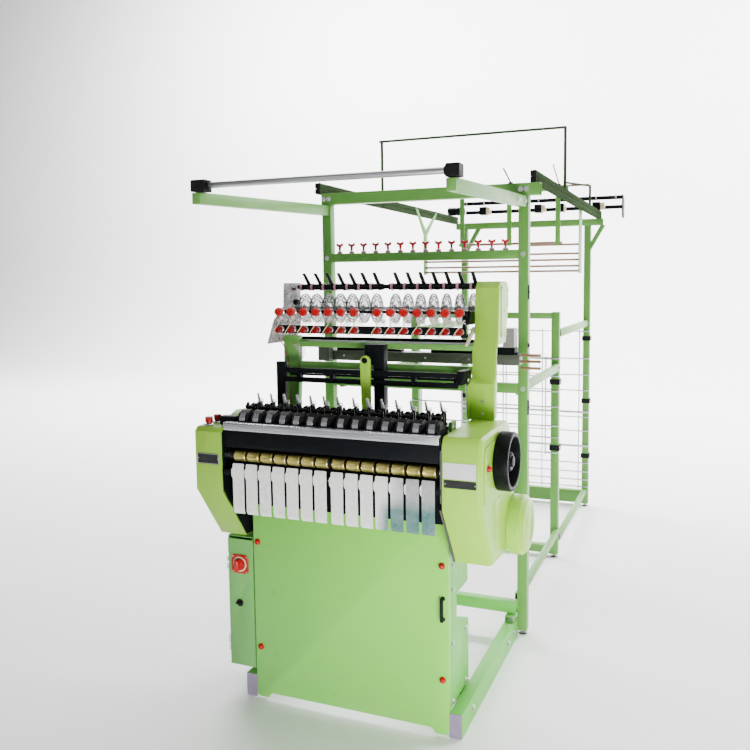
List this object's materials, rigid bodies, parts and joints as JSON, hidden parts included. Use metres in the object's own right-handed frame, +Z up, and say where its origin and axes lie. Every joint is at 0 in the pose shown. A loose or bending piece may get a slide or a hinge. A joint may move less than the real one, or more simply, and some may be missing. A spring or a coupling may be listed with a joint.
{
  "type": "narrow fabric weaving loom",
  "caption": "Narrow fabric loom weaving a row of ribbons, with drive and control housings, brass take-up rollers, weft feeder on top and a tall tube yarn frame behind.",
  "frame": {"origin": "on the floor, under the middle of the whole machine's box", "axes": "+X to the operator's right, +Y from the operator towards the yarn frame, +Z up"},
  "size_m": [1.126, 2.876, 2.174],
  "materials": {
    "green_paint": "gloss machine paint",
    "black_paint": "satin black",
    "grey_paint": "satin grey",
    "bright_steel": "turned and ground",
    "chrome_plate": "plated",
    "brass_roller": "knurled brass",
    "red_plastic": "moulded",
    "pink_plastic": "moulded",
    "cream_plastic": "moulded",
    "clear_plastic": "clear sheet, slightly pink",
    "grey_disc": "moulded",
    "black_plastic": "moulded",
    "brown_rod": "varnished",
    "belt_rubber": "woven rubber belt",
    "grey_rubber": "moulded",
    "white_plate": "plain, no print",
    "zinc_steel": "zinc plated wire"
  },
  "bodies": {
    "frame": {"base_frame": "green_paint", "tube_end_caps": "grey_rubber", "levelling_feet": "bright_steel", "front_panel": "green_paint", "panel_knobs": "red_plastic", "panel_handle": "black_plastic", "side_frames": "green_paint", "electrical_cabinet": "green_paint", "right_housing": "green_paint", "left_housing": "green_paint", "trim_plates": "white_plate", "side_liners": "black_paint", "side_cover": "green_paint", "motor_cover": "green_paint", "motor": "grey_paint", "drive_belt": "belt_rubber", "table_bed": "green_paint", "breast_bar": "chrome_plate", "apron_plate": "black_paint", "fabric_chutes": "chrome_plate", "head_blocks": "black_paint", "head_guides": "chrome_plate", "column_head": "green_paint", "upper_frame": "green_paint", "harness_rails": "black_paint", "centre_post": "black_paint", "feeder_end_plate": "clear_plastic", "feeder_rails": "black_paint", "tension_units": "bright_steel", "tension_caps": "red_plastic", "creel_posts": "green_paint", "creel_beams": "green_paint", "creel_side_members": "green_paint", "side_channels": "green_paint", "front_tube": "grey_paint", "thumb_screws": "pink_plastic", "top_yarn_frame": "green_paint", "guide_rods": "brown_rod", "rear_yarn_unit": "black_paint", "stop_motion_unit": "grey_paint", "wire_racks": "zinc_steel"},
    "drive_shaft": {"main_shaft": "bright_steel", "handwheel": "black_plastic"},
    "motor_rotor": {"motor_pulley": "bright_steel"},
    "take_up": {"take_up_shaft": "bright_steel", "take_up_rollers": "brass_roller"},
    "weft_feed": {"feed_shaft": "bright_steel", "feed_discs": "grey_disc"},
    "sley": {"sley_shaft": "bright_steel", "sley_arms": "black_paint", "reed_holders": "chrome_plate"},
    "swing_lever": {"centre_lever": "green_paint"},
    "levers_left": {"lever_bank_left": "black_plastic"},
    "levers_right": {"lever_bank_right": "black_plastic"},
    "feeler": {"yarn_lever": "cream_plastic"},
    "start": {"start_button": "red_plastic"},
    "stop": {"stop_button": "red_plastic"},
    "cabinet_door": {"electrical_door": "green_paint"},
    "switch_handle": {"main_switch": "red_plastic"},
    "latch": {"door_latch": "black_plastic"}
  },
  "joints": [
    {"name": "drive_turn", "type": "hinge", "parent": "frame", "child": "drive_shaft", "pos_m": [-0.043, -1.245, 0.897], "axis": [1, 0, 0], "continuous": true},
    {"name": "motor_turn", "type": "hinge", "parent": "frame", "child": "motor_rotor", "pos_m": [0.387, -1.1, 0.64], "axis": [1, 0, 0], "continuous": true},
    {"name": "take_up_turn", "type": "hinge", "parent": "frame", "child": "take_up", "pos_m": [-0.043, -1.413, 0.888], "axis": [1, 0, 0], "continuous": true},
    {"name": "feed_turn", "type": "hinge", "parent": "frame", "child": "weft_feed", "pos_m": [-0.043, -0.983, 1.356], "axis": [1, 0, 0], "continuous": true},
    {"name": "sley_rock", "type": "hinge", "parent": "frame", "child": "sley", "pos_m": [-0.043, -1.293, 1], "axis": [1, 0, 0], "range_deg": [-12, 12]},
    {"name": "centre_lever_swing", "type": "hinge", "parent": "frame", "child": "swing_lever", "pos_m": [-0.01, -1.198, 1.19], "axis": [0, 1, 0], "range_deg": [-4, 4]},
    {"name": "left_levers_lift", "type": "hinge", "parent": "frame", "child": "levers_left", "pos_m": [-0.183, -0.985, 1.434], "axis": [-1, 0, 0], "range_deg": [0, 40]},
    {"name": "right_levers_lift", "type": "hinge", "parent": "frame", "child": "levers_right", "pos_m": [0.167, -0.985, 1.434], "axis": [-1, 0, 0], "range_deg": [0, 40]},
    {"name": "feeler_lift", "type": "hinge", "parent": "frame", "child": "feeler", "pos_m": [0.337, -1.069, 1.289], "axis": [-1, 0, 0], "range_deg": [0, 25]},
    {"name": "start_press", "type": "slide", "parent": "frame", "child": "start", "axis": [0, 0, -1], "range_m": [0, 0.004], "stiffness_N_per_m": 400, "springref_m": -0.004},
    {"name": "stop_press", "type": "slide", "parent": "frame", "child": "stop", "axis": [0, 0, -1], "range_m": [0, 0.004], "stiffness_N_per_m": 400, "springref_m": -0.004},
    {"name": "door_swing", "type": "hinge", "parent": "frame", "child": "cabinet_door", "pos_m": [-0.5072, -1.3, 0.33], "axis": [0, 0, -1], "range_deg": [0, 110]},
    {"name": "switch_turn", "type": "hinge", "parent": "cabinet_door", "child": "switch_handle", "pos_m": [-0.454, -1.311, 0.472], "axis": [0, -1, 0], "range_deg": [0, 90]},
    {"name": "latch_turn", "type": "hinge", "parent": "cabinet_door", "child": "latch", "pos_m": [-0.459, -1.307, 0.331], "axis": [0, -1, 0], "range_deg": [0, 90]}
  ],
  "couplings": [
    {"joint": "motor_turn", "follows": "drive_turn", "ratio": 1.8235},
    {"joint": "take_up_turn", "follows": "drive_turn", "ratio": 0.05},
    {"joint": "feed_turn", "follows": "drive_turn", "ratio": 0.25}
  ]
}
